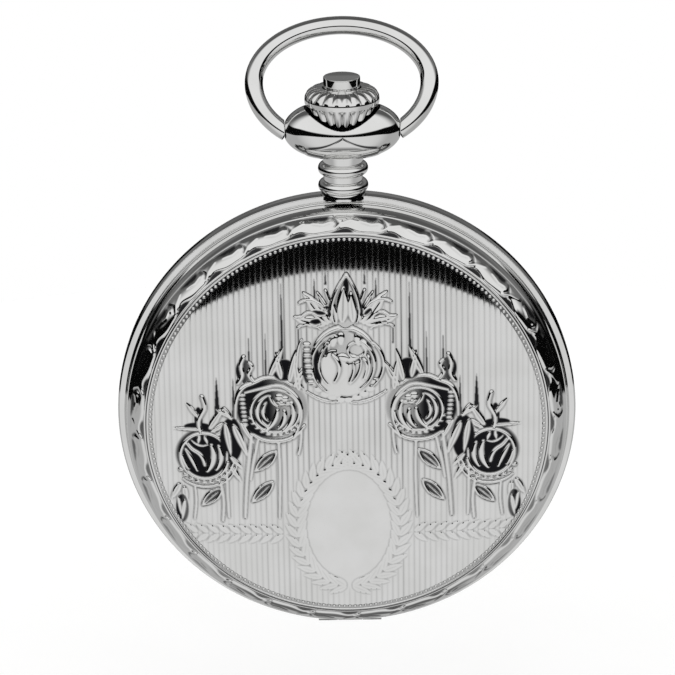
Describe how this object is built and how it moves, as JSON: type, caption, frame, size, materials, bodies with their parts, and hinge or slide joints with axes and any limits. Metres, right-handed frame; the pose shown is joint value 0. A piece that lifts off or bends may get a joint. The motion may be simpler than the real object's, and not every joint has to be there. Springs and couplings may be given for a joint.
{
  "type": "hunter pocket watch",
  "caption": "Pocket watch in a hinged hunter case with a swinging bow, fluted crown with push-piece, and a keyless lever movement.",
  "frame": {"origin": "centre of the small flat in the middle of the back cover", "axes": "-Y out of the front cover, +Y out of the back cover, +Z from the case's centre to the crown, +X to the right seen from the front"},
  "size_m": [0.048, 0.013, 0.0652],
  "materials": {
    "polished_case": "polished",
    "crystal": "clear",
    "steel": "satin",
    "spring_steel": "blued",
    "nickel_plate": "striped nickel",
    "brass_wheel": "gilt",
    "dial_enamel": "enamel",
    "blued_hand": "blued",
    "ruby": "polished"
  },
  "bodies": {
    "case": {"case_middle": "polished_case", "lid_hinge_pin": "steel", "back_hinge_pin": "steel", "front_bezel": "polished_case", "front_crystal": "crystal", "back_bezel": "polished_case", "back_crystal": "crystal", "movement_ring": "steel", "lift_spring": "spring_steel", "pendant_neck": "polished_case", "stem_sleeve": "steel", "bow_collar": "polished_case", "mainplate": "nickel_plate", "barrel_bridge": "nickel_plate", "train_bridge": "nickel_plate", "balance_cock": "nickel_plate", "pallet_bridge": "nickel_plate", "dial": "dial_enamel", "barrel_bridge_screw_left": "steel", "barrel_bridge_screw_right": "steel", "train_bridge_screw": "steel", "balance_cock_screw": "steel", "crown_wheel_screw": "steel", "click_screw": "steel", "third_jewel": "ruby", "fourth_jewel": "ruby", "escape_jewel": "ruby", "balance_jewel": "ruby", "hairspring": "spring_steel", "click_spring": "spring_steel"},
    "front_cover": {"front_cover": "polished_case"},
    "back_cover": {"back_cover": "polished_case"},
    "bow": {"bow": "polished_case"},
    "winding_pinion": {"winding_pinion": "steel"},
    "crown": {"crown": "polished_case", "crown_pin": "steel", "winding_stem": "steel"},
    "push_piece": {"push_piece": "polished_case"},
    "lock_catch": {"lock_catch": "spring_steel"},
    "crown_wheel": {"crown_wheel": "steel"},
    "ratchet_wheel": {"ratchet_wheel": "steel", "barrel_arbor": "steel", "ratchet_screw": "steel"},
    "click": {"click": "steel"},
    "fourth_wheel": {"fourth_wheel": "brass_wheel", "seconds_hand": "blued_hand"},
    "third_wheel": {"third_wheel": "brass_wheel"},
    "centre_wheel": {"centre_wheel": "brass_wheel"},
    "barrel": {"barrel": "brass_wheel", "barrel_cover": "brass_wheel", "mainspring": "spring_steel"},
    "escape_wheel": {"escape_wheel": "steel"},
    "minute_hand": {"minute_hand": "blued_hand", "cannon_pinion": "steel"},
    "minute_wheel": {"minute_wheel": "brass_wheel"},
    "hour_hand": {"hour_hand": "blued_hand", "hour_wheel": "brass_wheel"},
    "pallet_fork": {"pallet_fork": "steel"},
    "balance_wheel": {"balance_wheel": "brass_wheel"}
  },
  "joints": [
    {"name": "lid_hinge", "type": "hinge", "parent": "case", "child": "front_cover", "pos_m": [0, -0.0076, -0.0233], "axis": [1, 0, 0], "range_deg": [0, 100]},
    {"name": "back_cover_hinge", "type": "hinge", "parent": "case", "child": "back_cover", "pos_m": [0, -0.0054, -0.0233], "axis": [-1, 0, 0], "range_deg": [0, 90]},
    {"name": "bow_swing", "type": "hinge", "parent": "case", "child": "bow", "pos_m": [0, -0.0065, 0.03061], "axis": [1, 0, 0], "range_deg": [-64, 116]},
    {"name": "crown_turn", "type": "hinge", "parent": "case", "child": "winding_pinion", "pos_m": [0, -0.0065, 0.01366], "axis": [0, 0, 1], "continuous": true},
    {"name": "crown_pull", "type": "slide", "parent": "winding_pinion", "child": "crown", "axis": [0, 0, 1], "range_m": [0, 0.0009]},
    {"name": "push_press", "type": "slide", "parent": "crown", "child": "push_piece", "axis": [0, 0, -1], "range_m": [0, 0.0008], "stiffness_N_per_m": 300, "springref_m": -0.0002},
    {"name": "catch_travel", "type": "slide", "parent": "case", "child": "lock_catch", "axis": [0, 0, -1], "range_m": [0, 0.0008]},
    {"name": "crown_wheel_turn", "type": "hinge", "parent": "case", "child": "crown_wheel", "pos_m": [0, -0.00435, 0.01113], "axis": [0, 1, 0], "continuous": true},
    {"name": "ratchet_turn", "type": "hinge", "parent": "case", "child": "ratchet_wheel", "pos_m": [-0.00495, -0.00435, 0.0059], "axis": [0, 1, 0], "continuous": true},
    {"name": "click_swing", "type": "hinge", "parent": "case", "child": "click", "pos_m": [-0.0104, -0.00435, 0.00788], "axis": [0, -1, 0], "range_deg": [0, 8], "stiffness_Nm_per_rad": 0.000001},
    {"name": "seconds_turn", "type": "hinge", "parent": "case", "child": "fourth_wheel", "pos_m": [0, -0.00595, -0.009], "axis": [0, 1, 0], "continuous": true},
    {"name": "third_turn", "type": "hinge", "parent": "case", "child": "third_wheel", "pos_m": [0.00295, -0.0067, -0.00516], "axis": [0, 1, 0], "continuous": true},
    {"name": "centre_turn", "type": "hinge", "parent": "case", "child": "centre_wheel", "pos_m": [0, -0.00555, 0], "axis": [0, 1, 0], "continuous": true},
    {"name": "barrel_turn", "type": "hinge", "parent": "case", "child": "barrel", "pos_m": [-0.00495, -0.006, 0.0059], "axis": [0, 1, 0], "continuous": true},
    {"name": "escape_turn", "type": "hinge", "parent": "case", "child": "escape_wheel", "pos_m": [-0.00439, -0.00655, -0.01043], "axis": [0, 1, 0], "continuous": true},
    {"name": "minute_hand_turn", "type": "hinge", "parent": "case", "child": "minute_hand", "pos_m": [0, -0.00969, 0], "axis": [0, 1, 0], "continuous": true},
    {"name": "minute_wheel_turn", "type": "hinge", "parent": "case", "child": "minute_wheel", "pos_m": [0.002, -0.0081, 0.00346], "axis": [0, 1, 0], "continuous": true},
    {"name": "hour_hand_turn", "type": "hinge", "parent": "case", "child": "hour_hand", "pos_m": [0, -0.00842, 0], "axis": [0, 1, 0], "continuous": true},
    {"name": "pallet_rock", "type": "hinge", "parent": "case", "child": "pallet_fork", "pos_m": [-0.00669, -0.00655, -0.0085], "axis": [0, 1, 0], "range_deg": [-5, 5]},
    {"name": "balance_swing", "type": "hinge", "parent": "case", "child": "balance_wheel", "pos_m": [-0.00922, -0.0046, -0.00638], "axis": [0, 1, 0], "range_deg": [-150, 150], "stiffness_Nm_per_rad": 0.0000002}
  ],
  "couplings": [
    {"joint": "catch_travel", "follows": "push_press", "ratio": 1},
    {"joint": "crown_wheel_turn", "follows": "crown_turn", "ratio": -0.5},
    {"joint": "ratchet_turn", "follows": "crown_turn", "ratio": 0.33333},
    {"joint": "third_turn", "follows": "seconds_turn", "ratio": -0.13333},
    {"joint": "centre_turn", "follows": "seconds_turn", "ratio": 0.016667},
    {"joint": "barrel_turn", "follows": "seconds_turn", "ratio": -0.0027778},
    {"joint": "escape_turn", "follows": "seconds_turn", "ratio": -10},
    {"joint": "minute_wheel_turn", "follows": "minute_hand_turn", "ratio": -0.33333},
    {"joint": "hour_hand_turn", "follows": "minute_hand_turn", "ratio": 0.083333}
  ]
}
